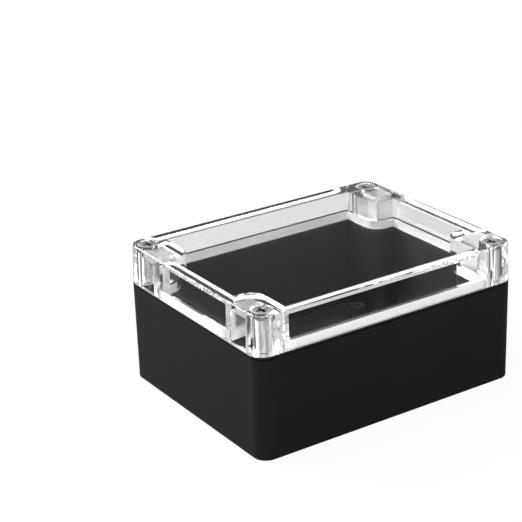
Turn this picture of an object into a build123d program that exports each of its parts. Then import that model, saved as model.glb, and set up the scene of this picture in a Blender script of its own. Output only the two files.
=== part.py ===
from build123d import *
import os
from math import atan, degrees, radians, sqrt, tan

# Project box with a clear lid, in millimetres. X runs along the long side, Y along the short
# side, Z up. The origin is on the table, under the middle of the box.

# Outside of the closed box
length = 115.0
width = 90.0
base_height = 40.0
lid_height = 15.0
corner_radius = 5.5
base_lean = 0.1           # how far each base wall leans in at the table
lid_lean = 0.6            # how far each lid wall leans in at its top
bottom_edge_chamfer = 0.3
lid_edge_chamfer = 0.4
joint_gap = 0.1           # the squeezed seal keeps the lid this far off the base's rim

# Base
base_wall = 4.0
base_floor = 3.0
room_lean = 0.4           # how far the room's walls lean in at the floor
shadow_groove_width = 0.4
shadow_groove_depth = 0.4
shadow_groove_drop = 0.95  # from the lid's lower edge down to the groove
joint_chamfer = 0.25

# Clear lid
lid_wall = 5.6
lid_top = 3.2
lid_well_wall = 5.0       # between a corner well and the room
lid_room_lean = 0.1

# Corner wells, which hold the screws outside the sealed room
well_reach_x = 9.8        # from the outer face to the wall between well and room
well_reach_y = 18.5
well_skin = 2.2
well_corner_radius = 1.0  # added to the wall's thickness on the room's side

# Seal cord in the lid's groove, and the tongue on the base that presses into its middle
groove_skin = 1.2         # clear wall outside the groove
groove_width = 2.9
groove_depth = 3.35
seal_bend_radius = 2.2    # inner side of the groove, where it turns from a wall to a well
seal_clearance = 0.05     # between the cord and the groove
seal_foot_gap = 0.15      # from the cord to the base beside the tongue
tongue_width = 0.9
tongue_height = 1.8
tongue_clearance = 0.2

# Lid screws, M4 by 25 with countersunk heads
screw_inset_x = 6.2       # from the outer face to the screw's axis
screw_inset_y = 6.5
screw_diameter = 4.0
screw_length = 25.0
head_diameter = 7.5
head_sink = 0.2           # the head lies this far under the lid's top
point_chamfer = 0.6
recess_span = 4.4         # cross recess, tip to tip
recess_width = 0.95
recess_foot_width = 0.5
recess_depth = 1.5
recess_taper = 16.0
boss_diameter = 9.4
screw_clearance = 0.2     # around the shank, in the lid and in the base
head_clearance = 0.1      # between the head's cone and its seat
screw_bore_room = 2.0     # free depth under the screw's point

# Holes that fasten the box to a wall, in the floor of the wells
wall_hole_diameter = 4.4
wall_hole_inset_x = 6.0
wall_hole_inset_y = 14.7

# Posts for a circuit board
post_spacing_x = 72.0
post_spacing_y = 52.0
post_diameter = 6.5
post_height = 6.0
post_hole_diameter = 2.6
post_hole_depth = 6.5

# Worked out from the sizes above
top = base_height + lid_height
rim = base_height - joint_gap
screw_x = length / 2 - screw_inset_x
screw_y = width / 2 - screw_inset_y
wall_hole_x = length / 2 - wall_hole_inset_x
wall_hole_y = width / 2 - wall_hole_inset_y
groove_inner = groove_skin + groove_width
tongue_outer = groove_skin + (groove_width - tongue_width) / 2
tongue_inner = tongue_outer + tongue_width
tongue_top = base_height + tongue_height
head_top = top - head_sink
screw_tip = head_top - screw_length
bore_diameter = screw_diameter + 2 * screw_clearance
margin = 1.0              # how far a cutting shape runs past what it cuts


def lean_angle(lean, height):
    """Draft angle that moves a wall by lean over height."""
    return degrees(atan(lean / height))


def rounded_plate(inset):
    """The box's outline, inset from its outer faces at the joint."""
    return RectangleRounded(length - 2 * inset, width - 2 * inset, corner_radius - inset)


def room_outline(inset, well_wall, bend_radius=0.0):
    """The sealed room's outline: a rectangle with a notch round each corner well.

    inset is the distance from the outer faces, well_wall the thickness left round the wells.
    bend_radius rounds the eight corners where the line turns from an outer wall to a well.
    """
    half_x = length / 2 - inset
    half_y = width / 2 - inset
    notch_x = length / 2 - well_reach_x - well_wall
    notch_y = width / 2 - well_reach_y - well_wall
    quarter = [(half_x, notch_y), (notch_x, notch_y), (notch_x, half_y)]
    points = list(quarter)
    points += [(-x, y) for x, y in reversed(quarter)]
    points += [(-x, -y) for x, y in quarter]
    points += [(x, -y) for x, y in reversed(quarter)]
    face = make_face(Polyline(*points, close=True))
    ends = [v for v in face.vertices() if abs(abs(v.X) - half_x) < 0.01 or abs(abs(v.Y) - half_y) < 0.01]
    if bend_radius:
        face = fillet(ends, bend_radius)
    notches = [
        v
        for v in face.vertices()
        if abs(abs(v.X) - notch_x) < 0.01 and abs(abs(v.Y) - notch_y) < 0.01
    ]
    return fillet(notches, well_corner_radius + well_wall)


def seal_line(inset):
    """The sealed room's outline with bends wide enough for the cord."""
    return room_outline(inset, inset, seal_bend_radius + groove_inner - inset)


def corner_well(bottom, height):
    """The space of one corner well, between the walls and the screw's column."""
    near_x = length / 2 - well_reach_x
    near_y = width / 2 - well_reach_y
    far_x = length / 2 - well_skin
    face = Pos((near_x + far_x) / 2, (near_y + screw_y) / 2) * Rectangle(far_x - near_x, screw_y - near_y)
    well = extrude(Pos(0, 0, bottom) * face, height)
    return well - upright(screw_x, screw_y, boss_diameter, bottom, height)


def at_corners(shape):
    """Four copies of a shape made at the positive corner, one in each corner of the box."""
    pair = [shape, mirror(shape, about=Plane.YZ)]
    return pair + [mirror(s, about=Plane.XZ) for s in pair]


def upright(x, y, diameter, bottom, height):
    """A round column or hole of this diameter standing at x, y."""
    return Pos(x, y, bottom) * Cylinder(
        diameter / 2, height, align=(Align.CENTER, Align.CENTER, Align.MIN)
    )


def seal_band(outer_inset, inner_inset, bottom, height):
    """A band that follows the seal's line between two insets."""
    band = seal_line(outer_inset) - seal_line(inner_inset)
    return extrude(Pos(0, 0, bottom) * band, height)


def base_shell():
    """The moulded tub: leaning walls, broken edges, room and wells."""
    body = extrude(
        Pos(0, 0, rim) * rounded_plate(0),
        -rim,
        taper=lean_angle(base_lean, rim),
    )
    body = chamfer(body.faces().sort_by(Axis.Z)[0].edges(), bottom_edge_chamfer)
    body = chamfer(body.faces().sort_by(Axis.Z)[-1].edges(), joint_chamfer)
    groove_top = base_height - shadow_groove_drop
    groove = rounded_plate(-margin) - rounded_plate(shadow_groove_depth)
    body -= extrude(Pos(0, 0, groove_top) * groove, -shadow_groove_width)
    room_depth = rim - base_floor
    body -= extrude(
        Pos(0, 0, rim) * room_outline(base_wall, base_wall),
        -room_depth,
        taper=lean_angle(room_lean, room_depth),
    )
    for well in at_corners(corner_well(base_floor, room_depth)):
        body -= well
    return body


def make_base():
    """Black base with its wells, screw columns, board posts and sealing tongue."""
    body = base_shell()
    body += seal_band(tongue_outer, tongue_inner, rim, tongue_top - rim)
    hole_bottom = base_floor + post_height - post_hole_depth
    for place in GridLocations(post_spacing_x, post_spacing_y, 2, 2):
        x, y = place.position.X, place.position.Y
        body += upright(x, y, post_diameter, base_floor, post_height)
        body -= upright(x, y, post_hole_diameter, hole_bottom, post_hole_depth + margin)
    bore_bottom = screw_tip - screw_bore_room
    bore = upright(screw_x, screw_y, bore_diameter, bore_bottom, top - bore_bottom)
    wall_hole = upright(wall_hole_x, wall_hole_y, wall_hole_diameter, -margin, base_floor + 2 * margin)
    for cut in at_corners(bore) + at_corners(wall_hole):
        body -= cut
    return body


def screw_seat():
    """The hole and the countersink for one lid screw, at the positive corner."""
    hole = upright(screw_x, screw_y, bore_diameter, base_height - margin, lid_height + 2 * margin)
    # A 90 degree cone that leaves head_clearance, measured square to its face, round the head
    mouth_radius = head_diameter / 2 + head_sink + head_clearance * sqrt(2)
    cone_depth = mouth_radius - bore_diameter / 2
    cone = Pos(screw_x, screw_y, top - cone_depth) * Cone(
        bore_diameter / 2, mouth_radius, cone_depth, align=(Align.CENTER, Align.CENTER, Align.MIN)
    )
    return hole + cone


def make_lid():
    """Clear lid: leaning walls, room, corner pockets with screw bosses, groove for the cord."""
    body = extrude(
        Pos(0, 0, base_height) * rounded_plate(0), lid_height, taper=lean_angle(lid_lean, lid_height)
    )
    body = chamfer(body.faces().sort_by(Axis.Z)[-1].edges(), lid_edge_chamfer)
    room_depth = lid_height - lid_top
    body -= extrude(
        Pos(0, 0, base_height) * room_outline(lid_wall, lid_well_wall),
        room_depth,
        taper=lean_angle(lid_room_lean, room_depth),
    )
    for cut in at_corners(corner_well(base_height, room_depth)) + at_corners(screw_seat()):
        body -= cut
    body -= seal_band(groove_skin, groove_inner, base_height, groove_depth)
    return body


def make_seal():
    """White cord loop pressed into the lid's groove, dented by the base's tongue."""
    outer = groove_skin + seal_clearance
    inner = groove_inner - seal_clearance
    foot = rim + seal_foot_gap
    seal_top = base_height + groove_depth - seal_clearance
    cord = seal_band(outer, inner, foot, seal_top - foot)
    dent = seal_band(tongue_outer - tongue_clearance, tongue_inner + tongue_clearance, foot, tongue_top - foot)
    return cord - dent


def cross_recess():
    """Tapered cross cut into a screw head, its mouth at height zero."""
    narrowing = 2 * recess_depth * tan(radians(recess_taper))
    wing = loft(
        [
            Rectangle(recess_span, recess_width),
            Pos(0, 0, -recess_depth) * Rectangle(recess_span - narrowing, recess_foot_width),
        ]
    )
    return wing + Rot(0, 0, 90) * wing


def make_screw():
    """One lid screw standing at the origin, with its head's top at height zero."""
    radius = screw_diameter / 2
    head_radius = head_diameter / 2
    profile = make_face(
        Polyline(
            (0, 0),
            (head_radius, 0),
            (radius, radius - head_radius),
            (radius, point_chamfer - screw_length),
            (radius - point_chamfer, -screw_length),
            (0, -screw_length),
            close=True,
        )
    )
    return revolve(Plane.XZ * profile, Axis.Z) - cross_recess()


def main():
    os.makedirs("parts", exist_ok=True)
    export_step(make_base(), "parts/base.step")
    export_step(make_lid(), "parts/lid.step")
    export_step(make_seal(), "parts/seal.step")
    screw = make_screw()
    places = GridLocations(2 * screw_x, 2 * screw_y, 2, 2)
    names = ["lid_screw_front_left", "lid_screw_back_left", "lid_screw_front_right", "lid_screw_back_right"]
    for name, place in zip(names, places):
        export_step(Pos(place.position.X, place.position.Y, head_top) * screw, f"parts/{name}.step")


main()
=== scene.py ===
import math

import bpy
import numpy as np
from bpy.props import FloatProperty, FloatVectorProperty, PointerProperty, StringProperty
from mathutils import Matrix, Vector


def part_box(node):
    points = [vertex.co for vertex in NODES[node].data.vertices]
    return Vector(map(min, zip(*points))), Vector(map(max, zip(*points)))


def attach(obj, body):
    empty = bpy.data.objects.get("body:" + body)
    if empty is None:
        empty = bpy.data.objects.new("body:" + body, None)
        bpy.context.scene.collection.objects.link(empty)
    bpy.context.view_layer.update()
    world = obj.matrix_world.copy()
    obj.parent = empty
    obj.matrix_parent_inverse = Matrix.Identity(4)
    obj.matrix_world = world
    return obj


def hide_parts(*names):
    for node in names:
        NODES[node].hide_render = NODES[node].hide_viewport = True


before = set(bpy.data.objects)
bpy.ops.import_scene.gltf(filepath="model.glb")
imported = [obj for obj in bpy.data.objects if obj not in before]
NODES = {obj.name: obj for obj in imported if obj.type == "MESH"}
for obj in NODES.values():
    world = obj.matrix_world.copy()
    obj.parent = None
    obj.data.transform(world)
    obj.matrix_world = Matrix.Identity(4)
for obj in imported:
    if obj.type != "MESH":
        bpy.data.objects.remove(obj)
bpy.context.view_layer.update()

bl_info = {
    "name": "Clear-lid project box",
    "version": (1, 0, 0),
    "blender": (4, 5, 0),
    "location": "View3D > Sidebar > Project Box",
    "description": "Finishes a black project box with a clear screw-down lid, and its studio",
    "category": "Object",
}

MM = 0.001
_, BASE_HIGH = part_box("base")
LID_LOW, LID_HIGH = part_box("lid")
SCREW_NODES = sorted(name for name in NODES if name.startswith("lid_screw_"))
SCREW_LOW, SCREW_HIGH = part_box("lid_screw_back_right")
SCREW_X = (SCREW_LOW.x + SCREW_HIGH.x) / 2
SCREW_Y = (SCREW_LOW.y + SCREW_HIGH.y) / 2

# Limits between the finishes on one piece. Each runs a little past the CAD faces it takes in.
SLACK = 0.02 * MM
GROOVE_DROP = 0.95 * MM         # from the lid's lower edge down to the base's shadow groove
GROOVE_WIDTH = 0.4 * MM
GROOVE_LOW = LID_LOW.z - GROOVE_DROP - GROOVE_WIDTH - SLACK
GROOVE_HIGH = LID_LOW.z - GROOVE_DROP + SLACK
ROOM_FLOOR = 2.9 * MM           # height that takes in the room's floor
ROOM_INSET = 2.0 * MM           # within the thickness of the base's outer walls
POCKET_REACH_X = 9.9 * MM       # from the lid's outer faces past a corner pocket's inner walls
POCKET_REACH_Y = 18.6 * MM
POCKET_SKIN_X = 2.5 * MM        # leaves out the pocket's outer skin
POCKET_SKIN_Y = 2.1 * MM
POCKET_CEILING = 3.1 * MM       # down from the lid's top
BOSS_RADIUS = 4.8 * MM          # leaves out the boss round a screw
RECESS_RADIUS = 2.5 * MM        # takes in a screw's cross recess, tips too

CREST_RADIUS = 2.0 * MM         # over the M4 thread's crests
NOISE_LOW, NOISE_HIGH = 0.3, 0.7    # nearly all of a noise texture's values lie between them


class BoxFinish(bpy.types.PropertyGroup):
    """Colours and surface figures of the two mouldings and the seal."""

    abs_colour: StringProperty(
        name="ABS colour",
        description="Black of the moulded base, as an sRGB hex value",
        default="#2B2B2C",
    )
    # Painted light: the inner faces take a paler black than the outside, so the shaded room reads
    # lighter
    room_painted_light_colour: StringProperty(
        name="Room colour",
        description="Black of the base's inner faces, as an sRGB hex value",
        default="#323233",
    )
    # Painted shade: near black for the shade in the narrow groove under the lid
    groove_shade_colour: StringProperty(
        name="Groove colour",
        description="Black of the narrow groove under the lid, as an sRGB hex value",
        default="#050505",
    )
    abs_grain: FloatProperty(
        name="ABS grain",
        description="Size of the spark-eroded grain on the base",
        default=0.35 * MM,
        unit="LENGTH",
    )
    abs_cloud: FloatProperty(
        name="ABS cloud",
        description="Size of the faint clouds that the melt's flow leaves",
        default=18 * MM,
        unit="LENGTH",
    )
    clear_colour: StringProperty(
        name="Lid colour",
        description="Tint of the clear polycarbonate, as an sRGB hex value",
        default="#FCFCFC",
    )
    shade_colour: StringProperty(
        name="Lid shade",
        description="What a lid face leaves of the lamps' light, as an sRGB hex value",
        default="#F6F6F6",
    )
    pocket_roughness: FloatProperty(
        name="Pocket roughness",
        description="Roughness inside the corner pockets, whose mould cores are not polished",
        default=0.5,
        subtype="FACTOR",
    )
    seal_colour: StringProperty(
        name="Seal colour",
        description="White of the silicone seal, as an sRGB hex value",
        default="#FAFAF8",
    )
    seal_unevenness: FloatProperty(
        name="Seal unevenness",
        description="Size of the soft unevenness of the extruded cord",
        default=1.2 * MM,
        unit="LENGTH",
    )


class ScrewSizes(bpy.types.PropertyGroup):
    """Sizes and colours of the four M4 countersunk screws."""

    pitch: FloatProperty(
        name="Pitch", description="Thread pitch of M4", default=0.7 * MM, unit="LENGTH"
    )
    root_depth: FloatProperty(
        name="Thread depth",
        description="Crest to root of the thread",
        default=0.43 * MM,
        unit="LENGTH",
    )
    crown: FloatProperty(
        name="Crown",
        description="How far the head's top is domed",
        default=0.2 * MM,
        unit="LENGTH",
    )
    recess_span: FloatProperty(
        name="Recess span",
        description="Cross recess from tip to tip",
        default=4.8 * MM,
        unit="LENGTH",
    )
    recess_width: FloatProperty(
        name="Recess width",
        description="Width of a wing at its mouth",
        default=1.35 * MM,
        unit="LENGTH",
    )
    recess_depth: FloatProperty(
        name="Recess depth",
        description="Depth of the cross recess",
        default=1.5 * MM,
        unit="LENGTH",
    )
    # Painted shade: near black for the shade inside the cross recess
    recess_shade_colour: StringProperty(
        name="Recess colour",
        description="Colour of the punched recess, as an sRGB hex value",
        default="#18181A",
    )
    steel_colour: StringProperty(
        name="Steel colour",
        description="Colour of the plated steel, as an sRGB hex value",
        default="#EAEAEA",
    )
    steel_marks: FloatProperty(
        name="Steel marks",
        description="Size of the marks that tumbling leaves",
        default=0.3 * MM,
        unit="LENGTH",
    )


class StudioSizes(bpy.types.PropertyGroup):
    """Camera, floor, dome and lamps of the studio."""

    camera_place: FloatVectorProperty(
        name="Camera place",
        description="Where the camera stands",
        default=(-317.66 * MM, -450.22 * MM, 272.21 * MM),
        unit="LENGTH",
    )
    azimuth: FloatProperty(
        name="Azimuth",
        description="Direction of the view round the box",
        default=math.radians(-32.94),
        unit="ROTATION",
    )
    elevation: FloatProperty(
        name="Elevation",
        description="Height of the view over the horizon",
        default=math.radians(22.152),
        unit="ROTATION",
    )
    roll: FloatProperty(
        name="Roll",
        description="Turn of the camera about its view",
        default=math.radians(-1.97),
        unit="ROTATION",
    )
    focal_length: FloatProperty(
        name="Focal length",
        description="On a 36 mm wide sensor",
        default=109.16,
        unit="CAMERA",
    )
    floor_reach: FloatProperty(
        name="Floor reach",
        description="From the middle to the floor's edges",
        default=3.0,
        unit="LENGTH",
    )
    floor_gap: FloatProperty(
        name="Floor gap",
        description="How far the floor lies under the box",
        default=0.05 * MM,
        unit="LENGTH",
    )
    floor_colour: StringProperty(
        name="Floor colour",
        description="Grey of the floor in lamp light and reflections",
        default="#5E5E60",
    )
    floor_glow: FloatProperty(
        name="Floor glow",
        description="Share of the seen floor that is plain white; the rest takes the shadow",
        default=0.94,
        subtype="FACTOR",
    )
    dome_low: FloatProperty(
        name="Dome low",
        description="Strength of the reflected dome near the horizon",
        default=0.08,
    )
    dome_high: FloatProperty(
        name="Dome high", description="Strength of the reflected dome overhead", default=0.7
    )
    wall_loss: FloatProperty(
        name="Wall loss",
        description="Share of the white lost by rays that run along inside the lid's walls",
        default=0.4,
        subtype="FACTOR",
    )
    side_place: FloatVectorProperty(
        name="Side lamp place",
        description="Where the left softbox hangs",
        default=(-0.56, 0.86, 0.75),
        unit="LENGTH",
    )
    side_size: FloatProperty(
        name="Side lamp size",
        description="Side of the left softbox",
        default=0.42,
        unit="LENGTH",
    )
    side_power: FloatProperty(
        name="Side lamp", description="Power of the left softbox", default=15.2, unit="POWER"
    )
    front_place: FloatVectorProperty(
        name="Front lamp place",
        description="Where the softbox beside the camera hangs",
        default=(-0.4, -0.7, 1.05),
        unit="LENGTH",
    )
    front_size: FloatProperty(
        name="Front lamp size",
        description="Side of the softbox beside the camera",
        default=0.8,
        unit="LENGTH",
    )
    front_power: FloatProperty(
        name="Front lamp",
        description="Power of the softbox beside the camera",
        default=4.8,
        unit="POWER",
    )


def linear(hex_colour):
    """An sRGB hex value as the linear colour, with full alpha, that a shader socket takes."""
    levels = [int(hex_colour[i : i + 2], 16) / 255 for i in (1, 3, 5)]
    return [v / 12.92 if v <= 0.04045 else ((v + 0.055) / 1.055) ** 2.4 for v in levels] + [1.0]


def add_node(tree, kind, settings=None, **sockets):
    """Adds a node with its settings, and values or links for its input sockets.

    A socket is named with _ for a space, or by i and its number.
    """
    node = tree.nodes.new(kind)
    for key, value in (settings or {}).items():
        setattr(node, key, value)
    for key, value in sockets.items():
        numbered = key[0] == "i" and key[1:].isdigit()
        socket = node.inputs[int(key[1:]) if numbered else key.replace("_", " ")]
        if isinstance(value, bpy.types.NodeSocket):
            tree.links.new(value, socket)
        else:
            socket.default_value = value
    return node


def new_material(name):
    """An empty node material and its output node."""
    material = bpy.data.materials.new(name)
    material.use_nodes = True
    material.node_tree.nodes.clear()
    return material, add_node(material.node_tree, "ShaderNodeOutputMaterial")


def paint(obj, material):
    """Puts one material in every slot of an object."""
    if not obj.material_slots:
        obj.data.materials.append(material)
    for place in obj.material_slots:
        place.material = material


def absolute_parts(tree, place):
    """Absolute X, Y and Z of a point, so that one corner's figures serve all four."""
    size = add_node(tree, "ShaderNodeVectorMath", {"operation": "ABSOLUTE"}, i0=place)
    return add_node(tree, "ShaderNodeSeparateXYZ", Vector=size.outputs["Vector"])


def all_of(tree, masks):
    """1 where every mask is 1: their product."""
    product = masks[0]
    for mask in masks[1:]:
        product = add_node(
            tree, "ShaderNodeMath", {"operation": "MULTIPLY"}, i0=product, i1=mask
        ).outputs[0]
    return product


def box_mask(tree, part, low, high):
    """1 where the absolute coordinates lie between low and high, else 0."""
    masks = []
    for axis, least, most in zip("XYZ", low, high):
        for operation, limit in (("GREATER_THAN", least), ("LESS_THAN", most)):
            side = add_node(
                tree, "ShaderNodeMath", {"operation": operation}, i0=part.outputs[axis], i1=limit
            )
            masks.append(side.outputs[0])
    return all_of(tree, masks)


def distance_from_axis(tree, part):
    """Distance of a point, given by its absolute coordinates, from the nearest screw's axis."""
    flat = add_node(
        tree, "ShaderNodeCombineXYZ", X=part.outputs["X"], Y=part.outputs["Y"], Z=0.0
    )
    axis = (SCREW_X, SCREW_Y, 0.0)
    return add_node(
        tree, "ShaderNodeVectorMath", {"operation": "DISTANCE"}, i0=flat.outputs["Vector"], i1=axis
    ).outputs["Value"]


def black_abs(finish):
    """Injection-moulded black ABS: fine eroded grain that keeps the gloss low and even. The inner
    faces take a paler black, painted light that lifts the shade inside the room, and the narrow
    groove under the lid is matt and coloured near black, a painted shade."""
    material, output = new_material("moulded_black_abs")
    tree = material.node_tree
    place = add_node(tree, "ShaderNodeTexCoord").outputs["Object"]
    part = absolute_parts(tree, place)
    inside = box_mask(
        tree,
        part,
        (0.0, 0.0, ROOM_FLOOR),
        (BASE_HIGH.x - ROOM_INSET, BASE_HIGH.y - ROOM_INSET, BASE_HIGH.z),
    )
    # The groove's height runs through the room too, which is left out
    groove = box_mask(
        tree, part, (0.0, 0.0, GROOVE_LOW), (BASE_HIGH.x, BASE_HIGH.y, GROOVE_HIGH)
    )
    groove = add_node(
        tree, "ShaderNodeMath", {"operation": "SUBTRACT", "use_clamp": True}, i0=groove, i1=inside
    ).outputs[0]
    # Painted light: the room's inner faces are coloured a paler black than the outside
    colour = add_node(
        tree,
        "ShaderNodeMix",
        {"data_type": "RGBA"},
        i0=inside,
        i6=linear(finish.abs_colour),
        i7=linear(finish.room_painted_light_colour),
    ).outputs[2]
    # Painted shade: the groove under the lid is coloured near black, standing in for its shade
    colour = add_node(
        tree,
        "ShaderNodeMix",
        {"data_type": "RGBA"},
        i0=groove,
        i6=colour,
        i7=linear(finish.groove_shade_colour),
    ).outputs[2]
    cloud = add_node(
        tree, "ShaderNodeTexNoise", Vector=place, Scale=1 / finish.abs_cloud, Detail=2.0
    )
    level = add_node(
        tree,
        "ShaderNodeMapRange",
        Value=cloud.outputs["Fac"],
        From_Min=NOISE_LOW,
        From_Max=NOISE_HIGH,
        To_Min=0.94,
        To_Max=1.06,
    )
    shade = add_node(
        tree, "ShaderNodeHueSaturation", Value=level.outputs["Result"], Color=colour
    )
    grain = add_node(
        tree, "ShaderNodeTexNoise", Vector=place, Scale=1 / finish.abs_grain, Detail=3.0
    )
    rough = add_node(
        tree,
        "ShaderNodeMapRange",
        Value=grain.outputs["Fac"],
        From_Min=NOISE_LOW,
        From_Max=NOISE_HIGH,
        To_Min=0.32,
        To_Max=0.4,
    )
    rough = add_node(
        tree,
        "ShaderNodeMix",
        {"data_type": "FLOAT"},
        i0=groove,
        i2=rough.outputs["Result"],
        i3=1.0,
    )
    bump = add_node(
        tree, "ShaderNodeBump", Height=grain.outputs["Fac"], Strength=0.08, Distance=0.03 * MM
    )
    shader = add_node(
        tree,
        "ShaderNodeBsdfPrincipled",
        Base_Color=shade.outputs["Color"],
        Roughness=rough.outputs[0],
        IOR=1.5,
        Normal=bump.outputs["Normal"],
    )
    tree.links.new(shader.outputs["BSDF"], output.inputs["Surface"])
    return material


def clear_polycarbonate(finish):
    """Injection-moulded clear polycarbonate: polished outside, in the room and round the screws,
    matt in the corner pockets, where the mould's cores are left as cut. The black specular tint
    drops the weak mirror images and keeps total reflection. Lamp light passes without a shadow."""
    material, output = new_material("clear_polycarbonate")
    tree = material.node_tree
    place = add_node(tree, "ShaderNodeTexCoord").outputs["Object"]
    part = absolute_parts(tree, place)
    # The skin between a pocket and the outer face is polished on both sides
    pocket = box_mask(
        tree,
        part,
        (LID_HIGH.x - POCKET_REACH_X, LID_HIGH.y - POCKET_REACH_Y, 0.0),
        (LID_HIGH.x - POCKET_SKIN_X, LID_HIGH.y - POCKET_SKIN_Y, LID_HIGH.z - POCKET_CEILING),
    )
    off_boss = add_node(
        tree,
        "ShaderNodeMath",
        {"operation": "GREATER_THAN"},
        i0=distance_from_axis(tree, part),
        i1=BOSS_RADIUS,
    )
    rough = add_node(
        tree,
        "ShaderNodeMapRange",
        Value=all_of(tree, [pocket, off_boss.outputs[0]]),
        To_Min=0.01,
        To_Max=finish.pocket_roughness,
    )
    shader = add_node(
        tree,
        "ShaderNodeBsdfPrincipled",
        Base_Color=linear(finish.clear_colour),
        Roughness=rough.outputs["Result"],
        IOR=1.585,
        Transmission_Weight=1.0,
        Specular_Tint=linear("#000000"),
    )
    through = add_node(tree, "ShaderNodeBsdfTransparent", Color=linear(finish.shade_colour))
    ray = add_node(tree, "ShaderNodeLightPath")
    mix = add_node(
        tree,
        "ShaderNodeMixShader",
        i0=ray.outputs["Is Shadow Ray"],
        i1=shader.outputs[0],
        i2=through.outputs[0],
    )
    tree.links.new(mix.outputs[0], output.inputs["Surface"])
    return material


def white_silicone(finish):
    """Extruded white silicone cord: a soft sheen, broken a little by the cord's unevenness."""
    material, output = new_material("white_silicone_cord")
    tree = material.node_tree
    place = add_node(tree, "ShaderNodeTexCoord").outputs["Object"]
    cloud = add_node(
        tree, "ShaderNodeTexNoise", Vector=place, Scale=1 / finish.seal_unevenness, Detail=2.0
    )
    bump = add_node(
        tree, "ShaderNodeBump", Height=cloud.outputs["Fac"], Strength=0.15, Distance=0.05 * MM
    )
    shader = add_node(
        tree,
        "ShaderNodeBsdfPrincipled",
        Base_Color=linear(finish.seal_colour),
        Roughness=0.5,
        IOR=1.41,
        Normal=bump.outputs["Normal"],
    )
    tree.links.new(shader.outputs["BSDF"], output.inputs["Surface"])
    return material


def plated_steel(sizes):
    """Zinc-plated steel, rolled threads and a pressed head: bright, with faint tumbling marks.
    Inside the cross recess it is coloured near black, a painted shade for the shade that falls
    there."""
    material, output = new_material("plated_steel")
    tree = material.node_tree
    place = add_node(tree, "ShaderNodeTexCoord").outputs["Object"]
    marks = add_node(
        tree, "ShaderNodeTexNoise", Vector=place, Scale=1 / sizes.steel_marks, Detail=3.0
    )
    rough = add_node(
        tree,
        "ShaderNodeMapRange",
        Value=marks.outputs["Fac"],
        From_Min=NOISE_LOW,
        From_Max=NOISE_HIGH,
        To_Min=0.3,
        To_Max=0.42,
    )
    part = absolute_parts(tree, place)
    near_axis = add_node(
        tree,
        "ShaderNodeMath",
        {"operation": "LESS_THAN"},
        i0=distance_from_axis(tree, part),
        i1=RECESS_RADIUS,
    )
    shade_start, shade_full = 0.15 * MM, 0.5 * MM     # under the top of the head
    deep = add_node(
        tree,
        "ShaderNodeMapRange",
        Value=part.outputs["Z"],
        From_Min=SCREW_HIGH.z - shade_start,
        From_Max=SCREW_HIGH.z - shade_full,
    )
    floor_margin = 0.1 * MM         # takes in the recess's floor, and no more of the shank
    over_floor = add_node(
        tree,
        "ShaderNodeMath",
        {"operation": "GREATER_THAN"},
        i0=part.outputs["Z"],
        i1=SCREW_HIGH.z - sizes.recess_depth - floor_margin,
    )
    # Painted shade: the cross recess is coloured near black, standing in for the shade in it
    painted_recess_shade = all_of(tree, [near_axis.outputs[0], deep.outputs[0], over_floor.outputs[0]])
    colour = add_node(
        tree,
        "ShaderNodeMix",
        {"data_type": "RGBA"},
        i0=painted_recess_shade,
        i6=linear(sizes.steel_colour),
        i7=linear(sizes.recess_shade_colour),
    )
    shader = add_node(
        tree,
        "ShaderNodeBsdfPrincipled",
        Base_Color=colour.outputs[2],
        Metallic=1.0,
        Roughness=rough.outputs["Result"],
    )
    tree.links.new(shader.outputs["BSDF"], output.inputs["Surface"])
    return material


def head_grid(sizes, half):
    """The middle of a screw head, a square of side 2 * half, as x, y, z arrays.

    Grid lines run along the wings' edges, so the recess keeps straight walls. Its depth at a point
    is recess_depth times the larger of two wings, each the smaller of a ramp across and a ramp
    along the wing. The square's top is flat, at height zero.
    """
    mouth = sizes.recess_width / 2
    foot = mouth * 0.5              # the wings narrow to half their width at the recess's floor
    tip = sizes.recess_span / 2
    tip_foot = tip - 0.4 * MM       # and their ends lean in by this much
    between = [0.8 * MM, 1.15 * MM, 1.5 * MM]     # lines that keep the grid's cells short
    side = np.array([foot, mouth, *between, tip_foot, tip, half])
    lines = np.concatenate([-side[::-1], [0.0], side])
    x, y = np.meshgrid(lines, lines, indexing="ij")

    def wing(across, along):
        ramp_across = np.clip((mouth - np.abs(across)) / (mouth - foot), 0, 1)
        ramp_along = np.clip((tip - np.abs(along)) / (tip - tip_foot), 0, 1)
        return np.minimum(ramp_across, ramp_along)

    return x, y, -sizes.recess_depth * np.maximum(wing(x, y), wing(y, x))


def square_edge(count):
    """Indices that walk once round the edge of a count by count grid, counterclockwise."""
    last = count - 1
    run = np.arange(last)
    i = np.concatenate([run, np.full(last, last), last - run, np.zeros(last, int)])
    j = np.concatenate([np.zeros(last, int), run, np.full(last, last), last - run])
    return i * count + j


def thread_radius(angle, height, sizes):
    """Radius of a right-hand V thread: CREST_RADIUS less root_depth times a flattened triangle
    wave of height / pitch - angle / (2 pi)."""
    crest_flat, flank = 0.125, 0.625              # shares of half a pitch
    phase = (height / sizes.pitch - angle / (2 * np.pi)) % 1.0
    wave = np.clip((np.abs(phase - 0.5) * 2 - crest_flat) / flank, 0, 1)
    return CREST_RADIUS - sizes.root_depth * wave


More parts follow.
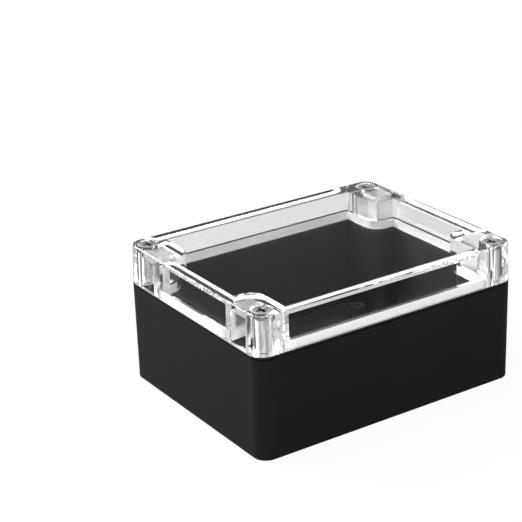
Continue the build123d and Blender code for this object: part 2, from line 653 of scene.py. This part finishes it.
def screw_mesh(name, sizes, low, high):
    """One screw, from its head's recess to its point, filling the CAD screw's box.

    The body is one grid: columns are the directions of the head square's edge points, rows run
    over the head, down its cone and along the threaded shank to the point.
    """
    head_radius = (high.x - low.x) / 2
    length = high.z - low.z
    centre = ((low.x + high.x) / 2, (low.y + high.y) / 2, high.z)
    crest = CREST_RADIUS
    square_margin = 0.2 * MM        # flat metal round the recess's tips
    edge_break = 0.1 * MM           # takes the sharpness off the head's edge and the neck
    rim_height = 0.3 * MM           # from the dome's edge to the start of the cone
    neck_fillet = 0.15 * MM
    thread_start = 0.2 * MM         # under the neck
    point_bevel = 0.6 * MM
    rows_per_pitch = 8
    runout_pitches = 1.5            # over which the thread comes to its full depth

    x, y, z = head_grid(sizes, sizes.recess_span / 2 + square_margin)
    count = len(x)
    edge = square_edge(count)
    edge_x, edge_y = x.ravel()[edge], y.ravel()[edge]
    angle = np.arctan2(edge_y, edge_x)
    out = np.hypot(edge_x, edge_y)

    # The head's top, a dome that falls with the square of the way out
    share = np.array([0.35, 0.7, 1.0])[:, None]
    flat_r = out + (head_radius - edge_break - out) * share
    flat_z = -sizes.crown * share**2 * np.ones_like(out)

    # The rim, the 90 degree cone and the neck
    cone_top = sizes.crown + rim_height
    neck = cone_top + head_radius - crest
    cone_r = np.array([head_radius, head_radius, crest + neck_fillet, crest])
    cone_z = -np.array([sizes.crown + edge_break, cone_top, neck - neck_fillet, neck + edge_break])
    cone_r = cone_r[:, None] * np.ones_like(out)
    cone_z = cone_z[:, None] * np.ones_like(out)

    # The shank, whose thread fades in under the neck and is cut off by the point's bevel
    rows = int((length - neck) / sizes.pitch * rows_per_pitch)
    drop = np.linspace(neck + thread_start, length, rows)[:, None]
    runout = np.clip((drop - neck) / (runout_pitches * sizes.pitch), 0, 1)
    shank_r = crest - (crest - thread_radius(angle[None, :], -drop, sizes)) * runout
    shank_r = np.minimum(shank_r, crest - point_bevel + (length - drop))
    shank_z = -drop * np.ones_like(out)

    radius = np.vstack([flat_r, cone_r, shank_r])
    height = np.vstack([flat_z, cone_z, shank_z])
    body = np.stack([radius * np.cos(angle), radius * np.sin(angle), height], axis=-1)
    top = np.stack([x, y, z], axis=-1).reshape(-1, 3)
    tip = np.array([[0.0, 0.0, -length]])
    points = np.vstack([top, body.reshape(-1, 3), tip]) + np.array(centre)

    cell = np.arange(count * count).reshape(count, count)
    quads = [cell[:-1, :-1], cell[1:, :-1], cell[1:, 1:], cell[:-1, 1:]]
    top_faces = np.stack(quads, axis=-1).reshape(-1, 4)
    body_index = count * count + np.arange(body.shape[0] * len(edge)).reshape(-1, len(edge))
    ring = np.vstack([edge, body_index])
    after = np.roll(ring, -1, axis=1)
    quads = [ring[:-1], ring[1:], after[1:], after[:-1]]
    body_faces = np.stack(quads, axis=-1).reshape(-1, 4)
    last = len(points) - 1
    tip_faces = np.stack([ring[-1], np.full(len(edge), last), after[-1]], axis=-1)
    faces = top_faces.tolist() + body_faces.tolist() + tip_faces.tolist()
    mesh = bpy.data.meshes.new(name)
    mesh.from_pydata(points.tolist(), [], faces)
    mesh.shade_smooth()
    mesh.set_sharp_from_angle(angle=math.radians(32))
    mesh.validate()
    return mesh


def seen_directly(tree, sizes):
    """1 for the camera's rays and for those that pass the clear lid straight, 0 for reflections
    and for rays that turn once inside the lid, as a faint second reflection does. Rays that turn
    more often run along inside the lid's walls, which takes wall_loss of their light."""
    ray = add_node(tree, "ShaderNodeLightPath")
    turns = ray.outputs["Glossy Depth"]
    once = add_node(tree, "ShaderNodeMath", {"operation": "COMPARE"}, i0=turns, i1=1.0, i2=0.5)
    often = add_node(tree, "ShaderNodeMath", {"operation": "GREATER_THAN"}, i0=turns, i1=1.5)
    kept = add_node(
        tree,
        "ShaderNodeMath",
        {"operation": "MULTIPLY_ADD"},
        i0=often.outputs[0],
        i1=-sizes.wall_loss,
        i2=1.0,
    )
    kept = add_node(
        tree, "ShaderNodeMath", {"operation": "SUBTRACT"}, i0=kept.outputs[0], i1=once.outputs[0]
    )
    passed = all_of(tree, [ray.outputs["Is Transmission Ray"], kept.outputs[0]])
    camera = ray.outputs["Is Camera Ray"]
    return add_node(
        tree, "ShaderNodeMath", {"operation": "MAXIMUM"}, i0=camera, i1=passed
    ).outputs[0]


def studio_floor(sizes):
    """Matt pale floor. Seen by the camera or through the lid it is white and keeps part of its
    shadow, and in reflections and for the lamps it is a plain grey."""
    material, output = new_material("studio_floor")
    tree = material.node_tree
    grey = add_node(tree, "ShaderNodeBsdfDiffuse", Color=linear(sizes.floor_colour))
    pale = add_node(tree, "ShaderNodeBsdfDiffuse", Color=linear("#FFFFFF"))
    glow = add_node(tree, "ShaderNodeEmission", Color=linear("#FFFFFF"), Strength=1.0)
    white = add_node(
        tree,
        "ShaderNodeMixShader",
        i0=sizes.floor_glow,
        i1=pale.outputs[0],
        i2=glow.outputs[0],
    )
    mix = add_node(
        tree,
        "ShaderNodeMixShader",
        i0=seen_directly(tree, sizes),
        i1=grey.outputs[0],
        i2=white.outputs[0],
    )
    tree.links.new(mix.outputs[0], output.inputs["Surface"])
    return material


def studio_world(sizes):
    """White where the camera or the clear lid looks past the floor. For the rest, and for light
    that turns once inside the lid, a soft dome that is dim at the horizon and brighter overhead,
    so that the lid's two flat top faces mirror little."""
    world = bpy.data.worlds.new("studio_world")
    world.use_nodes = True
    tree = world.node_tree
    tree.nodes.clear()
    way = add_node(tree, "ShaderNodeTexCoord").outputs["Generated"]
    rise = add_node(tree, "ShaderNodeSeparateXYZ", Vector=way).outputs["Z"]
    # The dome brightens between 24 and 33 degrees over the horizon
    dome = add_node(
        tree,
        "ShaderNodeMapRange",
        {"interpolation_type": "SMOOTHSTEP"},
        Value=rise,
        From_Min=0.41,
        From_Max=0.55,
        To_Min=sizes.dome_low,
        To_Max=sizes.dome_high,
    )
    level = add_node(
        tree,
        "ShaderNodeMix",
        {"data_type": "FLOAT"},
        i0=seen_directly(tree, sizes),
        i2=dome.outputs["Result"],
        i3=1.0,
    )
    sky = add_node(
        tree, "ShaderNodeBackground", Color=linear("#FFFFFF"), Strength=level.outputs[0]
    )
    output = add_node(tree, "ShaderNodeOutputWorld", Surface=sky.outputs[0])
    output.is_active_output = True
    return world


def softbox(name, place, target, size, power):
    """A square area lamp at place, facing target."""
    lamp = bpy.data.lights.new(name, "AREA")
    lamp.shape = "SQUARE"
    lamp.size = size
    lamp.energy = power
    obj = bpy.data.objects.new(name, lamp)
    obj.location = place
    away = Vector(target) - Vector(place)
    obj.rotation_euler = away.to_track_quat("-Z", "Y").to_euler()
    bpy.context.scene.collection.objects.link(obj)


def floor_plane(sizes):
    """The flat floor, a square just under the box."""
    reach, height = sizes.floor_reach, -sizes.floor_gap
    corners = [(x * reach, y * reach, height) for x, y in ((-1, -1), (1, -1), (1, 1), (-1, 1))]
    mesh = bpy.data.meshes.new("floor")
    mesh.from_pydata(corners, [], [(0, 1, 2, 3)])
    floor = bpy.data.objects.new("floor", mesh)
    bpy.context.scene.collection.objects.link(floor)
    return floor


def studio_camera(sizes):
    """The camera at its place, turned to its azimuth, elevation and roll."""
    a, e, r = sizes.azimuth, sizes.elevation, sizes.roll
    back = Vector((math.sin(a) * math.cos(e), -math.cos(a) * math.cos(e), math.sin(e)))
    right = Vector((math.cos(a), math.sin(a), 0.0))
    up = back.cross(right)
    across = right * math.cos(r) + up * math.sin(r)
    upward = up * math.cos(r) - right * math.sin(r)
    lens = bpy.data.cameras.new("camera")
    lens.sensor_width = 36.0
    lens.lens = sizes.focal_length
    camera = bpy.data.objects.new("camera", lens)
    turn = Matrix((across, upward, back)).transposed().to_4x4()
    camera.matrix_world = Matrix.Translation(Vector(sizes.camera_place)) @ turn
    bpy.context.scene.collection.objects.link(camera)
    return camera


class BOX_OT_base(bpy.types.Operator):
    """Give the base its moulded black ABS"""

    bl_idname = "project_box.base"
    bl_label = "Base"

    def execute(self, context):
        paint(NODES["base"], black_abs(context.scene.box_finish))
        return {"FINISHED"}


class BOX_OT_lid(bpy.types.Operator):
    """Give the lid its clear polycarbonate"""

    bl_idname = "project_box.lid"
    bl_label = "Clear lid"

    def execute(self, context):
        paint(NODES["lid"], clear_polycarbonate(context.scene.box_finish))
        return {"FINISHED"}


class BOX_OT_seal(bpy.types.Operator):
    """Give the seal its white silicone"""

    bl_idname = "project_box.seal"
    bl_label = "Seal"

    def execute(self, context):
        paint(NODES["seal"], white_silicone(context.scene.box_finish))
        return {"FINISHED"}


class BOX_OT_screws(bpy.types.Operator):
    """Make the four threaded lid screws, each in its CAD screw's place"""

    bl_idname = "project_box.screws"
    bl_label = "Lid screws"

    def execute(self, context):
        sizes = context.scene.screw_sizes
        steel = plated_steel(sizes)
        for node in SCREW_NODES:
            name = node.replace("lid_screw", "threaded_screw")
            low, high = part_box(node)
            obj = bpy.data.objects.new(name, screw_mesh(name, sizes, low, high))
            context.scene.collection.objects.link(obj)
            paint(obj, steel)
            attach(obj, node)
            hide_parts(node)
        return {"FINISHED"}


class BOX_OT_studio(bpy.types.Operator):
    """Set the floor, the world, the softboxes and the camera"""

    bl_idname = "project_box.studio"
    bl_label = "Studio"

    def execute(self, context):
        scene = context.scene
        sizes = scene.studio_sizes
        floor = floor_plane(sizes)
        paint(floor, studio_floor(sizes))
        scene.world = studio_world(sizes)
        # The softboxes hang so high that the lid's flat top mirrors them only in steep views
        middle = (0.0, 0.0, 0.03)
        softbox("side_softbox", sizes.side_place, middle, sizes.side_size, sizes.side_power)
        softbox("front_softbox", sizes.front_place, middle, sizes.front_size, sizes.front_power)
        scene.camera = studio_camera(sizes)
        scene.view_settings.view_transform = "Standard"
        # Light that runs along inside the lid's plate and walls turns many times before it leaves
        scene.cycles.max_bounces = 40
        scene.cycles.glossy_bounces = 32
        scene.cycles.transmission_bounces = 24
        scene.cycles.transparent_max_bounces = 24
        return {"FINISHED"}


class BOX_PT_panel(bpy.types.Panel):
    """Sidebar panel that lists the pieces and their sizes"""

    bl_idname = "BOX_PT_panel"
    bl_label = "Project Box"
    bl_space_type = "VIEW_3D"
    bl_region_type = "UI"
    bl_category = "Project Box"

    def draw(self, context):
        for operator in OPERATORS:
            self.layout.operator(operator.bl_idname)
        for key in GROUPS:
            group = getattr(context.scene, key)
            box = self.layout.box()
            for name in group.bl_rna.properties.keys():
                if name not in ("rna_type", "name"):
                    box.prop(group, name)


OPERATORS = (BOX_OT_base, BOX_OT_lid, BOX_OT_seal, BOX_OT_screws, BOX_OT_studio)
GROUPS = {"box_finish": BoxFinish, "screw_sizes": ScrewSizes, "studio_sizes": StudioSizes}


def register():
    for group in GROUPS.values():
        bpy.utils.register_class(group)
    for operator in OPERATORS:
        bpy.utils.register_class(operator)
    bpy.utils.register_class(BOX_PT_panel)
    for key, group in GROUPS.items():
        setattr(bpy.types.Scene, key, PointerProperty(type=group))


def unregister():
    for key in GROUPS:
        delattr(bpy.types.Scene, key)
    bpy.utils.unregister_class(BOX_PT_panel)
    for operator in reversed(OPERATORS):
        bpy.utils.unregister_class(operator)
    for group in reversed(list(GROUPS.values())):
        bpy.utils.unregister_class(group)


def main():
    register()
    bpy.ops.project_box.base()
    bpy.ops.project_box.lid()
    bpy.ops.project_box.seal()
    bpy.ops.project_box.screws()
    bpy.ops.project_box.studio()
    bpy.context.view_layer.update()


if __name__ == "__main__":
    main()
